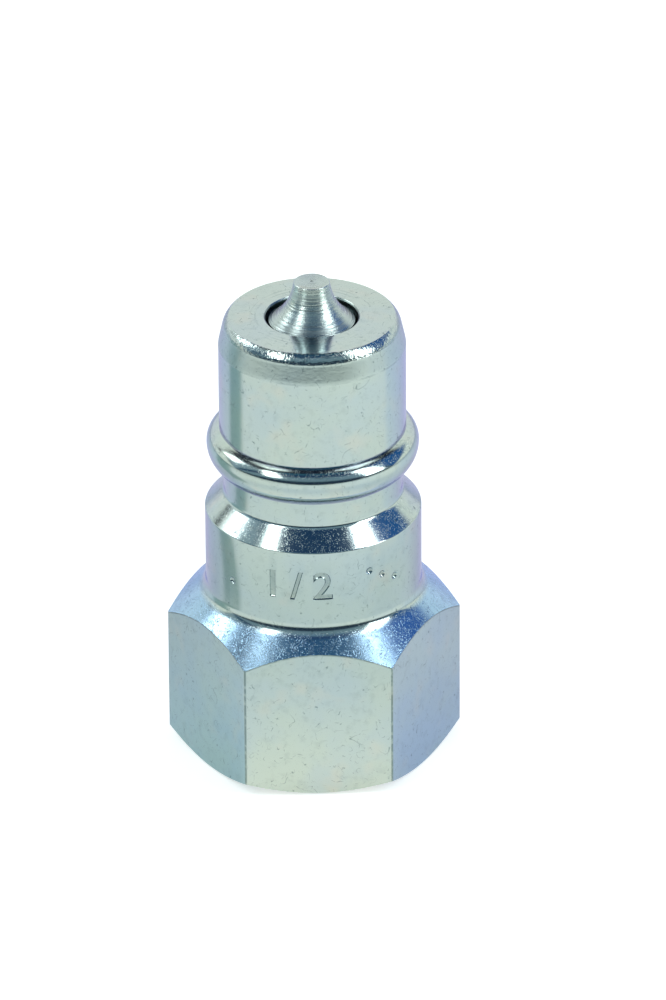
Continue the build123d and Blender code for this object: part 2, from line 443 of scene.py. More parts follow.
def poppetOutline():
    tipTop = noseFace + poppet["tipHeight"]
    flareFoot = noseFace - poppet["flareDepth"]
    head = Vector((poppet["tipRadius"], tipTop))
    rim = Vector((poppet["flareRadius"], flareFoot))
    # The hollow flare: an arc through head and rim with its centre outside
    chord = rim - head
    across = Vector((-chord.y, chord.x)).normalized()
    centre = (head + rim) / 2 + across * sqrt(poppet["flareArc"] ** 2 - (chord.length / 2) ** 2)
    flare = arcBetween(centre, head - centre, rim - centre, poppet["flareSteps"])[1:]
    land, edge = poppet["landRadius"], poppet["tipEdge"]
    rimFoot = flareFoot - poppet["flareRim"]
    flangeFoot = poppet["grooveFoot"] - poppet["flangeThickness"]
    spigotFoot = flangeFoot - poppet["spigotLength"]
    return [
        (poppet["dimpleRadius"], tipTop - poppet["dimpleDepth"]),
        (poppet["dimpleEdge"], tipTop),
        (poppet["tipRadius"] - edge, tipTop),
        (poppet["tipRadius"], tipTop - edge),
        *flare,
        (poppet["flareRadius"], rimFoot),
        (land, rimFoot - (land - poppet["flareRadius"])),
        (land, poppet["lipTop"]),
        (land + poppet["lipTop"] - poppet["grooveTop"], poppet["grooveTop"]),
        (poppet["grooveRadius"], poppet["grooveTop"]),
        (poppet["grooveRadius"], poppet["grooveFoot"]),
        (poppet["flangeRadius"] - poppet["flangeChamfer"], poppet["grooveFoot"]),
        (poppet["flangeRadius"], poppet["grooveFoot"] - poppet["flangeChamfer"]),
        (poppet["flangeRadius"], flangeFoot),
        (poppet["hubRadius"], flangeFoot),
        (poppet["hubRadius"], spigotFoot),
        (poppet["shankRadius"], spigotFoot - poppet["hubRadius"] + poppet["shankRadius"]),
        (poppet["shankRadius"], poppet["shankFoot"]),
        (poppet["stemRadius"], poppet["shankFoot"]),
        (poppet["stemRadius"], poppet["stemFoot"] + poppet["stemChamfer"]),
        (poppet["stemRadius"] - poppet["stemChamfer"], poppet["stemFoot"]),
        (poppet["stemCentre"], poppet["stemFoot"]),
    ]


poppetValve = turnOnLathe("poppet_valve_turned", poppetOutline(), poppet["steps"])
smoothByAngle(poppetValve, smoothingAngle)
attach(poppetValve, "poppet")
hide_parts("poppet_valve")
print("poppet turned")


# Valve spring
spring = {
    "coilRadius": 5.2,
    "wireRadius": 0.65,
    "wireSides": 14,
    "foot": 19.0,
    "top": 41.713,
    "activeTurns": 4,
    "closedTurns": 1,
    "closedGap": 0.04,
    "easeTurns": 0.5,
    "stepsPerTurn": 24,
    "travel": 5.5,
    "smoothingAngle": 40,
}


def windSpring():
    turns = spring["activeTurns"] + 2 * spring["closedTurns"]
    steps = round(turns * spring["stepsPerTurn"])
    closedPitch = 2 * spring["wireRadius"] + spring["closedGap"]

    def openShare(turn):
        fromEnd = min(turn, turns - turn)
        rise = min(max((fromEnd - spring["closedTurns"]) / spring["easeTurns"] + 0.5, 0), 1)
        return rise * rise * (3 - 2 * rise)

    shares = [openShare((step + 0.5) / spring["stepsPerTurn"]) for step in range(steps)]
    length = spring["top"] - spring["foot"]
    openPitch = (length - closedPitch * turns) * spring["stepsPerTurn"] / sum(shares)
    deselectAll()
    bpy.ops.mesh.primitive_circle_add(
        vertices=spring["wireSides"], radius=spring["wireRadius"] * mm,
        location=(spring["coilRadius"] * mm, 0, spring["foot"] * mm), rotation=(pi / 2, 0, 0))
    coil = bpy.context.object
    coil.name = "valve_spring_wound"
    applyPlace(coil)
    bpy.ops.object.mode_set(mode="EDIT")
    bpy.ops.mesh.select_all(action="SELECT")
    turnStep = 2 * pi / spring["stepsPerTurn"]
    for share in shares:
        rise = (closedPitch + openPitch * share) / spring["stepsPerTurn"]
        bpy.ops.mesh.extrude_edges_move(TRANSFORM_OT_translate={"value": (0, 0, rise * mm)})
        bpy.ops.transform.rotate(value=turnStep, orient_axis="Z", center_override=axisPoint)
    # Both ends are ground flat
    for height, side in ((spring["foot"], 1), (spring["top"], -1)):
        closeEnds()
        bpy.ops.mesh.bisect(plane_co=(0, 0, height * mm), plane_no=(0, 0, side),
                            clear_inner=True, use_fill=True)
    turnFacesOut()
    smoothByAngle(coil, spring["smoothingAngle"])
    return coil


valveSpring = windSpring()
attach(valveSpring, "body")
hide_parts("valve_spring")
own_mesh(valveSpring)
print("spring wound")


# Small helpers for materials
asFloat, asColour = "NodeSocketFloat", "NodeSocketColor"


def feed(tree, value, target):
    # An output is linked to the socket, and a constant is set on it
    if isinstance(value, bpy.types.NodeSocket):
        tree.links.new(value, target)
    else:
        target.default_value = value


def newNode(tree, kind, values=(), **settings):
    node = tree.nodes.new(kind)
    for setting, value in settings.items():
        setattr(node, setting, value)
    for socket, value in dict(values).items():
        feed(tree, value, node.inputs[socket])
    return node


def startGroup(name, inputs, outputs):
    tree = bpy.data.node_groups.new(name, "ShaderNodeTree")
    for label, kind, value in inputs:
        socket = tree.interface.new_socket(label, in_out="INPUT", socket_type=kind)
        socket.default_value = value
    for label, kind in outputs:
        tree.interface.new_socket(label, in_out="OUTPUT", socket_type=kind)
    return tree, tree.nodes.new("NodeGroupInput").outputs, tree.nodes.new("NodeGroupOutput").inputs


def placeGroup(tree, group, values=()):
    return newNode(tree, "ShaderNodeGroup", values, node_tree=group).outputs


def startFinish(name):
    finish = bpy.data.materials.new(name)
    finish.use_nodes = True
    return finish, finish.node_tree, finish.node_tree.nodes["Principled BSDF"]


def mathNode(tree, operation, *values):
    return newNode(tree, "ShaderNodeMath", enumerate(values), operation=operation).outputs[0]


def product(tree, first, *others):
    for other in others:
        first = mathNode(tree, "MULTIPLY", first, other)
    return first


def addShares(tree, total, *pairs):
    for value, share in pairs:
        total = mathNode(tree, "MULTIPLY_ADD", value, share, total)
    return total


def smoothRange(tree, value, low, high, toLow=0.0, toHigh=1.0):
    values = enumerate((value, low, high, toLow, toHigh))
    return newNode(tree, "ShaderNodeMapRange", values, interpolation_type="SMOOTHSTEP").outputs[0]


def within(tree, value, low, high, fade):
    # 1 between low and high, fading out on both sides
    return product(tree, smoothRange(tree, value, low - fade, low),
                   smoothRange(tree, value, high, high + fade, 1.0, 0.0))


def blend(tree, share, first, second, mode="MIX"):
    values = {0: share, 6: first, 7: second}
    return newNode(tree, "ShaderNodeMix", values, data_type="RGBA", blend_type=mode).outputs[2]


def fillRamp(ramp, stops):
    elements = ramp.color_ramp.elements
    elements.remove(elements[-1])
    for index, (position, colour) in enumerate(stops):
        element = elements.new(position) if index else elements[0]
        element.position = position
        element.color = colour


def splitVector(tree, vector):
    return newNode(tree, "ShaderNodeSeparateXYZ", {0: vector}).outputs


def splitColour(tree, colour):
    return newNode(tree, "ShaderNodeSeparateColor", {0: colour}).outputs


def millimetres(tree):
    # Object coordinates in millimetres, so that scales read as on the real part
    place = newNode(tree, "ShaderNodeTexCoord").outputs["Object"]
    scaled = {0: place, "Scale": 1 / mm}
    return newNode(tree, "ShaderNodeVectorMath", scaled, operation="SCALE").outputs[0]


def radiusAndHeight(tree):
    # Distance from the axis and height, in millimetres
    x, y, height = splitVector(tree, millimetres(tree))
    squared = mathNode(tree, "ADD", product(tree, x, x), product(tree, y, y))
    return mathNode(tree, "SQRT", squared), height


def turnRound(tree, x, y):
    # Degrees from the front: to the right with x, or over the top with z in its place
    return mathNode(tree, "DEGREES", mathNode(tree, "ARCTAN2", x, product(tree, y, -1.0)))


def noiseNode(tree, place, **values):
    return newNode(tree, "ShaderNodeTexNoise", {"Vector": place, **values})


def noiseAt(tree, place, **values):
    return noiseNode(tree, place, **values).outputs["Fac"]


# Fine rings left by the lathe tool: they follow radius on faces and height on cylinders
latheLines = {
    "perMm": 6.0,
    "wander": 0.02,
    "driftsPerMm": 0.25,
    "detail": 3.0,
    "roughness": 0.7,
    "coarseShare": 0.2,
}


def turnedLinesGroup():
    tree, given, made = startGroup(
        "turnedLines",
        [("Lines per mm", asFloat, latheLines["perMm"]), ("Wander", asFloat, latheLines["wander"])],
        [("Height", asFloat), ("Coarse", asFloat)])
    radius, height = radiusAndHeight(tree)
    drift = noiseAt(tree, millimetres(tree), Scale=latheLines["driftsPerMm"], Detail=1.0)
    wander = product(tree, drift, given["Wander"])
    ring = newNode(tree, "ShaderNodeCombineXYZ", {
        0: mathNode(tree, "ADD", radius, wander), 2: mathNode(tree, "ADD", height, wander)}).outputs[0]
    feed(tree, noiseAt(tree, ring, Scale=given["Lines per mm"], Detail=latheLines["detail"],
                       Roughness=latheLines["roughness"]), made["Height"])
    coarseScale = product(tree, given["Lines per mm"], latheLines["coarseShare"])
    feed(tree, noiseAt(tree, ring, Scale=coarseScale, Detail=1.0), made["Coarse"])
    return tree


# Short curved scratches, small nicks and soft smudges from the tumbling barrel
handling = {
    "scratchSizes": [(0.45, 0.007), (0.8, 0.01), (1.3, 0.016)],  # waves per mm, width
    "scratchShift": (31.7, 17.3, 53.9),
    "scratchDetail": 0.6,
    "scratchCore": 0.3,
    "gapsPerWave": 1.7,
    "gaps": (0.56, 0.66),
    "nicksPerMm": 0.75,
    "nickSize": (0.05, 0.14),
    "nickChance": (0.55, 0.8),
    "wobblesPerMm": 3.0,
    "wobble": 0.35,
    "smudgesPerMm": 0.9,
    "smudgeDetail": 5.0,
    "smudgeRoughness": 0.65,
    "smudges": (0.5, 0.7),
}


def handlingMarksGroup():
    tree, given, made = startGroup(
        "handlingMarks",
        [("Scratches", asFloat, 0.5), ("Nicks", asFloat, 0.5)],
        [("Scratch", asFloat), ("Nick", asFloat), ("Smudge", asFloat)])
    place = millimetres(tree)
    total = None
    for index, (size, width) in enumerate(handling["scratchSizes"]):
        # A thin line runs where a soft noise crosses its middle, and a second noise breaks it up
        shift = [across * index for across in handling["scratchShift"]]
        shifted = newNode(tree, "ShaderNodeVectorMath", {0: place, 1: shift}, operation="ADD").outputs[0]
        swirl = noiseAt(tree, shifted, Scale=size, Detail=handling["scratchDetail"])
        away = mathNode(tree, "ABSOLUTE", mathNode(tree, "SUBTRACT", swirl, 0.5))
        gaps = noiseAt(tree, shifted, Scale=size * handling["gapsPerWave"], Detail=1.0)
        line = product(tree, smoothRange(tree, away, width * handling["scratchCore"], width, 1.0, 0.0),
                       smoothRange(tree, gaps, *handling["gaps"]))
        total = line if total is None else mathNode(tree, "MAXIMUM", total, line)
    feed(tree, product(tree, total, given["Scratches"]), made["Scratch"])
    ripple = noiseNode(tree, place, Scale=handling["wobblesPerMm"], Detail=1.0).outputs["Color"]
    wobble = {0: ripple, 1: [handling["wobble"]] * 3, 2: place}
    wobbled = newNode(tree, "ShaderNodeVectorMath", wobble, operation="MULTIPLY_ADD").outputs[0]
    cells = newNode(tree, "ShaderNodeTexVoronoi", {
        "Vector": wobbled, "Scale": handling["nicksPerMm"], "Randomness": 1.0}).outputs
    pit = smoothRange(tree, cells["Distance"], *handling["nickSize"], 1.0, 0.0)
    chosen = smoothRange(tree, splitColour(tree, cells["Color"])[0], *handling["nickChance"])
    feed(tree, product(tree, pit, chosen, given["Nicks"]), made["Nick"])
    smudge = noiseAt(tree, place, Scale=handling["smudgesPerMm"], Detail=handling["smudgeDetail"],
                     Roughness=handling["smudgeRoughness"])
    feed(tree, smoothRange(tree, smudge, *handling["smudges"]), made["Smudge"])
    return tree


# Passivated zinc drifts slowly between green-grey and blue-grey, with a little warm bloom
plating = {
    "patchesPerMm": 0.12,
    "patchRoughness": 0.55,
    "blueFrom": (0.35, 0.7),
    "bloomScale": 2.3,
    "warmFrom": (0.55, 0.8),
    "warmMost": 0.6,
}


def platingTintGroup():
    white = (1, 1, 1, 1)
    tree, given, made = startGroup(
        "platingTint",
        [("Green", asColour, white), ("Blue", asColour, white), ("Warm", asColour, white),
         ("Scale", asFloat, plating["patchesPerMm"])],
        [("Color", asColour)])
    place = millimetres(tree)
    slow = noiseAt(tree, place, Scale=given["Scale"], Detail=3.0, Roughness=plating["patchRoughness"])
    colour = blend(tree, smoothRange(tree, slow, *plating["blueFrom"]), given["Green"], given["Blue"])
    bloomScale = product(tree, given["Scale"], plating["bloomScale"])
    bloom = noiseAt(tree, place, Scale=bloomScale, Detail=2.0)
    warmShare = smoothRange(tree, bloom, *plating["warmFrom"], 0.0, plating["warmMost"])
    feed(tree, blend(tree, warmShare, colour, given["Warm"]), made["Color"])
    return tree


# Tiny bright grains of the zinc deposit, which glitter on the coarsely turned shoulder
grains = {
    "perMm": 9.0,
    "clumpsPerMm": 0.9,
    "clumps": (0.35, 0.65),
    "density": (0.92, 0.6),
    "softness": 0.08,
}


def platingGrainGroup():
    tree, given, made = startGroup("platingGrain", [("Grains per mm", asFloat, grains["perMm"])],
                                   [("Height", asFloat)])
    place = millimetres(tree)
    cells = newNode(tree, "ShaderNodeTexVoronoi", {
        "Vector": place, "Scale": given["Grains per mm"], "Randomness": 1.0}).outputs
    clumps = noiseAt(tree, place, Scale=grains["clumpsPerMm"], Detail=3.0)
    density = smoothRange(tree, clumps, *grains["clumps"], *grains["density"])
    above = mathNode(tree, "SUBTRACT", splitColour(tree, cells["Color"])[1], density)
    tilted = smoothRange(tree, above, 0.0, grains["softness"])
    feed(tree, product(tree, cells["Distance"], tilted), made["Height"])
    return tree


# Zones of the turned body as masks by radius and height: darker edges, stamps and bore mouth that get
# painted shade, tool rings, the taper and rim, and the coarser turned shoulder.
# A pair is where a mask begins and where it is full, and a third number is a fade on both sides.
bodyZoneLimits = {
    "cornerRadius": 16.1,
    "corner": (-0.03, 0.01),
    "belowArc": (0.05, 0.22),
    "arcRadius": (13.9, 13.98),
    "breakupPerMm": 1.6,
    "breakup": (0.3, 0.55),
    "leastEdgeShare": 0.45,
    "innerRing": (6.14, 6.24, 0.08),
    "outerRing": (6.72, 6.76, 0.07),
    "ringHeight": (51.8, 51.95),
    "taperLine": (48.66, 48.76, 0.1),
    "taperLineRadius": (9.9, 10.0),
    "ringGapsPerMm": 0.3,
    "ringGaps": (0.44, 0.58),
    "stampSinking": (0.02, 0.1),
    "stampHeight": (20.9, 28.5, 0.1),
    "taperHeight": (48.7, 50.9, 0.12),
    "taperRadius": (9.3, 9.6),
    "rimHeight": (50.7, 50.95),
    "rimRadius": (8.9, 9.2),
    "boreRadius": (5.3, 5.4),
    "boreHeight": (42.0, 51.94, 0.05),
    "shoulderRadius": (12.0, 12.8),
    "shoulderHeight": (14.0, 15.0),
}


def bodyZonesGroup():
    tree, given, made = startGroup(
        "bodyZones",
        [("Breakup", asFloat, bodyZoneLimits["breakupPerMm"]), ("Wall", asFloat, 0.0)],
        [(label, asFloat) for label in ("Edges", "Stamp", "Taper", "Rim", "Bore", "Shoulder", "Rings")])
    across, height = radiusAndHeight(tree)

    def zone(value, name, *toValues):
        limits = bodyZoneLimits[name]
        if len(limits) == 3:
            return within(tree, value, *limits)
        return smoothRange(tree, value, *limits, *toValues)

    # Darker along the rounded hex corners and in a thin band on the flats just under the shoulder arcs,
    # broken up by noise
    corner = zone(mathNode(tree, "SUBTRACT", across, bodyZoneLimits["cornerRadius"]), "corner")
    belowArc = mathNode(tree, "SUBTRACT", shoulderRise, addShares(tree, height, (across, shoulderSlope)))
    arc = product(tree, zone(belowArc, "belowArc", 1.0, 0.0), zone(across, "arcRadius"))
    edges = mathNode(tree, "MAXIMUM", corner, product(tree, arc, given["Wall"]))
    breakup = noiseAt(tree, millimetres(tree), Scale=given["Breakup"], Detail=3.0)
    rings = product(tree, mathNode(tree, "MAXIMUM", zone(across, "innerRing"), zone(across, "outerRing")),
                    zone(height, "ringHeight"))
    rings = mathNode(tree, "MAXIMUM", rings,
                     product(tree, zone(height, "taperLine"), zone(across, "taperLineRadius")))
    ringGaps = noiseAt(tree, millimetres(tree), Scale=bodyZoneLimits["ringGapsPerMm"], Detail=3.0)
    sunk = mathNode(tree, "SUBTRACT", body["collarRadius"], across)
    masks = {
        "Edges": (edges, zone(breakup, "breakup", bodyZoneLimits["leastEdgeShare"], 1.0)),
        "Rings": (rings, zone(ringGaps, "ringGaps")),
        # Where the stamps are sunk, for painted shade in the colour
        "Stamp": (zone(sunk, "stampSinking"), zone(height, "stampHeight")),
        "Taper": (zone(height, "taperHeight"), zone(across, "taperRadius")),
        "Rim": (zone(height, "rimHeight"), zone(across, "rimRadius")),
        # The bore mouth, for painted shade in the colour and a rougher finish
        "Bore": (zone(across, "boreRadius", 1.0, 0.0), zone(height, "boreHeight")),
        "Shoulder": (zone(across, "shoulderRadius"), zone(height, "shoulderHeight")),
    }
    for label, factors in masks.items():
        feed(tree, product(tree, *factors), made[label])
    return tree


turnedLines = turnedLinesGroup()
bodyZones = bodyZonesGroup()
handlingMarks = handlingMarksGroup()
platingTint = platingTintGroup()
platingGrain = platingGrainGroup()

# Zinc plated steel, turned: the same finish with its own lines and marks on each piece
zinc = {
    "green": (0.57, 0.68, 0.625, 1),
    "blue": (0.53, 0.65, 0.66, 1),
    "warm": (0.65, 0.68, 0.6, 1),
    "wornAndShadedTint": (0.42, 0.47, 0.48, 1),
    "edgeTint": (0.84, 0.74, 1.0, 1),
    "shoulderTint": (0.43, 0.66, 0.85, 1),
    "roughness": 0.13,
    "lineRoughness": 0.06,
    "scratchRoughness": 0.15,
    "taperRoughness": 0.16,
    "shoulderRoughness": 0.1,
    "boreRoughness": 0.16,
    "scratchDepth": 0.002,
    "nickDepth": 0.012,
    "grainDepth": 0.024,
    "waveDepth": 0.0022,
    "dentDepth": 0.05,
    "wavesPerMm": 1.3,
    "dentsPerMm": 2.8,
    "blotchesPerMm": 1.2,
    "blotches": (0.42, 0.66),
    "blotchRoughness": 0.6,
    "scratchShare": 0.75,
    "smudgeShare": 0.16,
    # Painted shade in the sunk stamps
    "stampShadeShare": 0.45,
    "taperShare": 0.05,
    # Painted shade in the bore mouth
    "boreShadeShare": 0.9,
    "ringShare": 0.25,
    "taperDents": 0.3,
    "grainElsewhere": 0.3,
    "coneFacing": (0.6, 0.8, 0.15),
    "wallFacing": (0.1, 0.3),
}


def zincFinish(name, linesPerMm, lineDepth, scratches, nicks, onBody=False, duller=0.0):
    finish, tree, shader = startFinish(name)
    shader.inputs["Metallic"].default_value = 1.0
    shader.inputs["Specular Tint"].default_value = zinc["edgeTint"]
    lines = placeGroup(tree, turnedLines, {"Lines per mm": linesPerMm})
    handled = placeGroup(tree, handlingMarks, {"Scratches": scratches, "Nicks": nicks})
    tint = placeGroup(tree, platingTint, {
        "Green": zinc["green"], "Blue": zinc["blue"], "Warm": zinc["warm"]})
    waves = noiseAt(tree, millimetres(tree), Scale=zinc["wavesPerMm"], Detail=2.0)
    scratch, nick = handled["Scratch"], handled["Nick"]
    wearAndShade = mathNode(tree, "MAXIMUM", product(tree, scratch, zinc["scratchShare"]), nick)
    wearAndShade = addShares(tree, wearAndShade, (handled["Smudge"], zinc["smudgeShare"]))
    rough = addShares(tree, zinc["roughness"] - zinc["lineRoughness"] / 2 + duller,
                      (lines["Coarse"], zinc["lineRoughness"]), (scratch, zinc["scratchRoughness"]))
    # Relief in millimetres
    relief = addShares(tree, product(tree, lines["Height"], lineDepth), (scratch, -zinc["scratchDepth"]),
                       (nick, -zinc["nickDepth"]), (waves, zinc["waveDepth"]))
    colour = tint["Color"]
    if onBody:
        # Flats and walls have level normals, and the cones face up at a slant
        upward = splitVector(tree, newNode(tree, "ShaderNodeNewGeometry").outputs["Normal"])[2]
        cone = within(tree, upward, *zinc["coneFacing"])
        zones = placeGroup(tree, bodyZones, {
            "Wall": smoothRange(tree, upward, *zinc["wallFacing"], 1.0, 0.0)})
        blotches = noiseAt(tree, millimetres(tree), Scale=zinc["blotchesPerMm"], Detail=4.0,
                           Roughness=zinc["blotchRoughness"])
        blotched = product(tree, zones["Taper"], smoothRange(tree, blotches, *zinc["blotches"]))
        # Painted shade: the sunk stamps and the bore mouth are darkened in the colour, along with the darker
        # edges, taper mottling and tool rings
        wearAndShade = addShares(tree, mathNode(tree, "MAXIMUM", wearAndShade, zones["Edges"]),
                         (zones["Stamp"], zinc["stampShadeShare"]), (blotched, zinc["taperShare"]),
                         (zones["Bore"], zinc["boreShadeShare"]), (zones["Rings"], zinc["ringShare"]))
        least = zinc["grainElsewhere"]
        grainy = product(tree, cone, addShares(tree, least, (zones["Shoulder"], 1 - least)))
        rough = addShares(tree, rough, (zones["Taper"], zinc["taperRoughness"]),
                          (zones["Bore"], zinc["boreRoughness"]), (grainy, zinc["shoulderRoughness"]))
        grain = product(tree, placeGroup(tree, platingGrain)["Height"], grainy, zinc["grainDepth"])
        dents = noiseAt(tree, millimetres(tree), Scale=zinc["dentsPerMm"], Detail=2.0)
        dented = addShares(tree, zones["Rim"], (zones["Taper"], zinc["taperDents"]))
        relief = addShares(tree, mathNode(tree, "ADD", relief, grain),
                           (product(tree, dents, dented), zinc["dentDepth"]))
        colour = blend(tree, product(tree, zones["Shoulder"], cone), colour, zinc["shoulderTint"])
    # The slow tint of the plating, darkened where it is worn and marked, with painted shade in the sunk
    # stamps and the bore mouth
    colour = blend(tree, mathNode(tree, "MINIMUM", wearAndShade, 1.0), colour, zinc["wornAndShadedTint"], "MULTIPLY")
    feed(tree, colour, shader.inputs["Base Color"])
    feed(tree, rough, shader.inputs["Roughness"])
    bump = newNode(tree, "ShaderNodeBump", {"Height": relief, "Strength": 1.0, "Distance": mm})
    feed(tree, bump.outputs[0], shader.inputs["Normal"])
    return finish


def giveFinish(piece, finish):
    if piece.data.materials:
        for index in range(len(piece.data.materials)):
            piece.data.materials[index] = finish
    else:
        piece.data.materials.append(finish)


giveFinish(nippleBody, zincFinish("zinc_plated_turned", linesPerMm=5.0, lineDepth=0.0004,
                                  scratches=0.9, nicks=0.75, onBody=True))
giveFinish(poppetValve, zincFinish("zinc_plated_valve", linesPerMm=3.2, lineDepth=0.09,
                                   scratches=0.2, nicks=0.1, duller=0.14))
giveFinish(nodes["valve_guide"], zincFinish("zinc_plated_guide", linesPerMm=4.0, lineDepth=0.001,
                                            scratches=0.3, nicks=0.2))

# Spring wire and retaining ring
wire = {
    "green": (0.36, 0.38, 0.38, 1),
    "blue": (0.3, 0.33, 0.36, 1),
    "warm": (0.4, 0.37, 0.33, 1),
    "patchesPerMm": 0.5,
    "scratches": 0.8,
    "nicks": 0.3,
    "roughness": 0.3,
    "scratchRoughness": 0.2,
}


def wireFinish(name):
    finish, tree, shader = startFinish(name)
    shader.inputs["Metallic"].default_value = 1.0
    worn = placeGroup(tree, handlingMarks, {"Scratches": wire["scratches"], "Nicks": wire["nicks"]})
    tint = placeGroup(tree, platingTint, {
        "Green": wire["green"], "Blue": wire["blue"], "Warm": wire["warm"], "Scale": wire["patchesPerMm"]})
    feed(tree, tint["Color"], shader.inputs["Base Color"])
    rough = addShares(tree, wire["roughness"], (worn["Scratch"], wire["scratchRoughness"]))
    feed(tree, rough, shader.inputs["Roughness"])
    return finish


springFinish = wireFinish("drawn_spring_wire")
giveFinish(valveSpring, springFinish)
giveFinish(nodes["retaining_ring"], springFinish)

# Seal rubber
rubber = {
    "dark": (0.012, 0.012, 0.013, 1),
    "pale": (0.03, 0.03, 0.031, 1),
    "grainsPerMm": 6.0,
    "grain": (0.3, 0.7),
    "roughness": (0.42, 0.6),
}


def rubberFinish():
    finish, tree, shader = startFinish("seal_rubber_black")
    grain = noiseAt(tree, millimetres(tree), Scale=rubber["grainsPerMm"], Detail=4.0)
    feed(tree, blend(tree, grain, rubber["dark"], rubber["pale"]), shader.inputs["Base Color"])
    rough = smoothRange(tree, grain, *rubber["grain"], *rubber["roughness"])
    feed(tree, rough, shader.inputs["Roughness"])
    return finish


giveFinish(nodes["poppet_seal"], rubberFinish())
print("finishes made")

# Floor, in metres: the glow stands for the light that the paper throws back at the metal
stage = {
    "floorSize": 6.0,
    "floorGap": 0.0001,
    "whiteLift": 0.5,
    "floorColour": (0.8, 0.82, 0.81, 1),
    "farColour": (0.88, 0.97, 0.94, 1),
    "far": (-0.42, -0.2),
    "endColour": (0.02, 0.04, 0.07, 1),
    "end": (-1.7, -1.4),
    "shadeColour": (0.38, 0.46, 0.43, 1),
    "shadeTurn": (-114, -99, 9.0),
    "shadeShift": (0.05, 0.08, 17.0, 0.0),
    "shadeNear": (0.042, 0.052),
    "frontGlow": (0.19, 0.15, 0.1, 1),
    "leftGlow": (0.01, 0.06, 0.065, 1),
    "rightGlow": (0.02, 0.04, 0.1, 1),
    "leftToRight": (-10.0, 10.0),
    "sideNearFoot": (0.014, 0.03, 26.0, 80.0),
    "sideFarther": (0.03, 0.085, 0.0, 14.0),
    "sideFade": (-4.0, 8.0, 1.0, 0.0),
    "underGlow": (0.26, 0.27, 0.27, 1),
    "under": (0.0135, 0.0141, 1.0, 0.0),
    "glowByDistance": [(0.018, 1.0), (0.034, 0.48), (0.05, 0.05), (0.06, 0.05), (0.078, 0.46)],
    "glowReach": 0.1,
    "glowStrength": 1.9,
}


def paperWithGlow(tree, tone, glow, strength):
    paper = newNode(tree, "ShaderNodeBsdfDiffuse", {"Color": tone}).outputs[0]
    light = newNode(tree, "ShaderNodeEmission", {"Color": glow, "Strength": strength}).outputs[0]
    return newNode(tree, "ShaderNodeAddShader", {0: paper, 1: light}).outputs[0]


def mixShaders(tree, share, first, second):
    return newNode(tree, "ShaderNodeMixShader", {0: share, 1: first, 2: second}).outputs[0]


def paperTones(tree, turn, away, y):
    # What the metal mirrors: paper with a painted glow that is warm in front and cooler behind, and a
    # painted shadow on the left
    tone = blend(tree, smoothRange(tree, y, *stage["far"]), stage["farColour"], stage["floorColour"])
    tone = blend(tree, smoothRange(tree, y, *stage["end"]), stage["endColour"], tone)
    shadeTurn = mathNode(tree, "SUBTRACT", turn, smoothRange(tree, away, *stage["shadeShift"]))
    # A painted shadow on the paper, to the left and behind
    shaded = product(tree, within(tree, shadeTurn, *stage["shadeTurn"]),
                     smoothRange(tree, away, *stage["shadeNear"]))
    tone = blend(tree, shaded, tone, stage["shadeColour"])
    glow = blend(tree, smoothRange(tree, turn, *stage["leftToRight"]), stage["leftGlow"], stage["rightGlow"])
    # Close to the foot the side flats already mirror the paper behind the part
    sideTurn = mathNode(tree, "ADD", smoothRange(tree, away, *stage["sideNearFoot"]),
                        smoothRange(tree, away, *stage["sideFarther"]))
    pastSide = mathNode(tree, "SUBTRACT", mathNode(tree, "ABSOLUTE", turn), sideTurn)
    glow = blend(tree, smoothRange(tree, pastSide, *stage["sideFade"]), glow, stage["frontGlow"])
    glow = blend(tree, smoothRange(tree, away, *stage["under"]), glow, stage["underGlow"])
    return tone, glow


def paleFloor():
    deselectAll()
    bpy.ops.mesh.primitive_plane_add(size=stage["floorSize"], location=(0, 0, -stage["floorGap"]))
    floor = bpy.context.object
    floor.name = "studio_floor"
    applyPlace(floor)
    finish, tree, shader = startFinish("floor_paper")
    tree.nodes.remove(shader)
    ray = newNode(tree, "ShaderNodeLightPath").outputs
    place = newNode(tree, "ShaderNodeTexCoord").outputs["Object"]
    x, y, _ = splitVector(tree, place)
    away = newNode(tree, "ShaderNodeVectorMath", {0: place}, operation="LENGTH").outputs["Value"]
    reach = stage["glowReach"]
    fall = newNode(tree, "ShaderNodeValToRGB", {0: product(tree, away, 1 / reach)})
    fillRamp(fall, [(distance / reach, (share, share, share, 1))
                    for distance, share in stage["glowByDistance"]])
    strength = product(tree, fall.outputs[0], stage["glowStrength"], ray["Is Glossy Ray"])
    mirrored = paperWithGlow(tree, *paperTones(tree, turnRound(tree, x, y), away, y), strength)
    # The camera sees the paper with the part's shadow, lifted to white
    seen = paperWithGlow(tree, stage["floorColour"], (1, 1, 1, 1), stage["whiteLift"])
    upper = mixShaders(tree, ray["Is Camera Ray"], mirrored, seen)
    # From below the floor is clear, so that the port can be looked into
    below = newNode(tree, "ShaderNodeNewGeometry").outputs["Backfacing"]
    clear = newNode(tree, "ShaderNodeBsdfTransparent").outputs[0]
    feed(tree, mixShaders(tree, below, upper, clear), tree.nodes["Material Output"].inputs["Surface"])
    floor.data.materials.append(finish)


paleFloor()

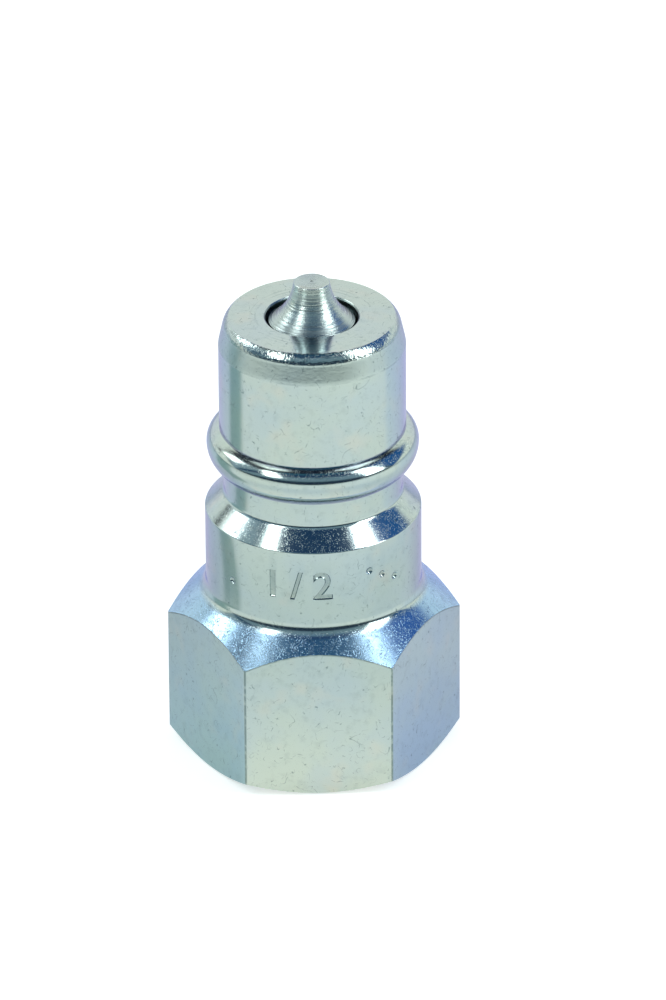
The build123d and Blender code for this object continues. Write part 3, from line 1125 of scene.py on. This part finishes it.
# Studio round the part: pale backdrop behind, dark blue room in front and above
room = {
    "ambient": (0.52, 0.58, 0.63, 1),
    "backdrop": (0.93, 0.96, 0.9, 1),
    "ceiling": (0.01, 0.014, 0.03, 1),
    "middleRoom": (0.033, 0.13, 0.21, 1),
    "upperRoom": (0.013, 0.045, 0.115, 1),
    "frontRoom": (0.2, 0.29, 0.36, 1),
    "horizon": (0.02, 0.04, 0.07, 1),
    "blueSide": (0.012, 0.1, 0.33, 1),
    "paleSide": (0.3, 0.4, 0.48, 1),
    "leftGap": (0.02, 0.03, 0.04, 1),
    "strips": (1.6, 1.7, 1.7, 1),
    # Degrees along the arc from the front horizon, over the top, to the back horizon
    "arc": [(0, "horizon"), (17, "horizon"), (24, "frontRoom"), (44, "frontRoom"), (53, "upperRoom"),
            (64, "upperRoom"), (68, "middleRoom"), (72, "middleRoom"), (78, "ceiling"),
            (129, "ceiling"), (136, "backdrop"), (180, "backdrop")],
    "sides": [("blueSide", (0.5, 0.7), (138.0, 146.0)), ("paleSide", (-0.6, -0.76), (122.0, 130.0))],
    "sidesFrom": (60.0, 80.0),
    "stripsAcross": (0.25, 0.44, 0.05),
    "stripsAlong": (90.0, 112.0, 4.0),
    "gapTurn": (-127.0, -122.0, 2.5),
    "gapRise": (0.2, 0.3),
}


def studioRoom():
    world = bpy.data.worlds.new("studio_room")
    bpy.context.scene.world = world
    world.use_nodes = True
    tree = world.node_tree
    x, y, z = splitVector(tree, newNode(tree, "ShaderNodeTexCoord").outputs["Generated"])
    arc = turnRound(tree, z, y)
    ramp = newNode(tree, "ShaderNodeValToRGB", {0: mathNode(tree, "DIVIDE", arc, 180.0)})
    fillRamp(ramp, [(angle / 180, room[name]) for angle, name in room["arc"]])
    colour = ramp.outputs[0]
    # The right of the room is blue and the left paler, between the lamps and the backdrop
    for name, across, until in room["sides"]:
        along = product(tree, smoothRange(tree, arc, *room["sidesFrom"]),
                        smoothRange(tree, arc, *until, 1.0, 0.0))
        colour = blend(tree, product(tree, smoothRange(tree, x, *across), along), colour, room[name])
    # Two strip lights run overhead, front to back
    strips = product(tree, within(tree, mathNode(tree, "ABSOLUTE", x), *room["stripsAcross"]),
                     within(tree, arc, *room["stripsAlong"]))
    colour = blend(tree, strips, colour, room["strips"])
    # A dark gap stands at the left end of the backdrop
    gap = product(tree, within(tree, turnRound(tree, x, y), *room["gapTurn"]),
                  smoothRange(tree, z, *room["gapRise"]))
    colour = blend(tree, gap, colour, room["leftGap"])
    # Matt things and the floor get plain even light, and the camera sees white
    ray = newNode(tree, "ShaderNodeLightPath").outputs
    colour = blend(tree, ray["Is Diffuse Ray"], colour, room["ambient"])
    colour = blend(tree, ray["Is Camera Ray"], colour, (1, 1, 1, 1))
    feed(tree, colour, tree.nodes["Background"].inputs["Color"])
    feed(tree, 1.0, tree.nodes["Background"].inputs["Strength"])


studioRoom()

# Tall softboxes stand left and right of the camera and behind on the left, in metres and degrees
lamps = {
    "left": {"azimuth": -56, "distance": 0.4, "low": 0.22, "high": 0.62,
             "wide": 0.13, "brightness": 4.9, "lean": 22},
    "right": {"azimuth": 66, "distance": 0.4, "low": 0.1, "high": 0.6,
              "wide": 0.16, "brightness": 4.6, "lean": 0},
    "rearLeft": {"azimuth": -109, "distance": 0.5, "low": 0.265, "high": 0.5,
                 "wide": 0.22, "brightness": 3.1, "lean": 0},
}


def towards(azimuth, elevation):
    a, e = radians(azimuth), radians(elevation)
    return Vector((sin(a) * cos(e), -cos(a) * cos(e), sin(e)))


def standingSoftbox(name, lamp):
    light = bpy.data.lights.new(name, "AREA")
    light.shape = "RECTANGLE"
    light.size, light.size_y = lamp["wide"], lamp["high"] - lamp["low"]
    light.energy = lamp["brightness"] * pi * light.size * light.size_y
    holder = bpy.data.objects.new(name, light)
    bpy.context.scene.collection.objects.link(holder)
    outward = towards(lamp["azimuth"], 0)
    holder.location = outward * lamp["distance"] + Vector((0, 0, (lamp["low"] + lamp["high"]) / 2))
    upright = outward.to_track_quat("Z", "Y").to_matrix()
    holder.rotation_euler = (upright @ Matrix.Rotation(radians(lamp["lean"]), 3, "Z")).to_euler()
    holder.visible_camera = False


for lampName, lamp in lamps.items():
    standingSoftbox(lampName + "_softbox", lamp)
print("studio lit")

# Camera, far off with a long lens, in metres and degrees
camera = {
    "azimuth": -1.93,
    "elevation": 28.25,
    "distance": 1.1,
    "lens": 360.2,
    "sensor": 36,
    "clip": (0.05, 20),
    "roll": 0.349,
    "aim": (0, 0, 0.027),
    "moveRight": 0.002165,
    "moveUp": 0.00196,
}


def photographsCamera():
    data = bpy.data.cameras.new("photograph_camera")
    data.lens = camera["lens"]
    data.sensor_width = camera["sensor"]
    data.clip_start, data.clip_end = camera["clip"]
    holder = bpy.data.objects.new("photograph_camera", data)
    bpy.context.scene.collection.objects.link(holder)
    back = towards(camera["azimuth"], camera["elevation"])
    a, roll = radians(camera["azimuth"]), radians(camera["roll"])
    level = Vector((cos(a), sin(a), 0))
    upright = back.cross(level)
    right = level * cos(roll) - upright * sin(roll)
    up = upright * cos(roll) + level * sin(roll)
    place = Vector(camera["aim"]) + back * camera["distance"]
    place = place + right * camera["moveRight"] + up * camera["moveUp"]
    turn = Matrix((right, up, back)).transposed().to_4x4()
    holder.matrix_world = Matrix.Translation(place) @ turn
    bpy.context.scene.camera = holder


photographsCamera()
bpy.context.scene.view_settings.view_transform = "Standard"
print("camera placed")
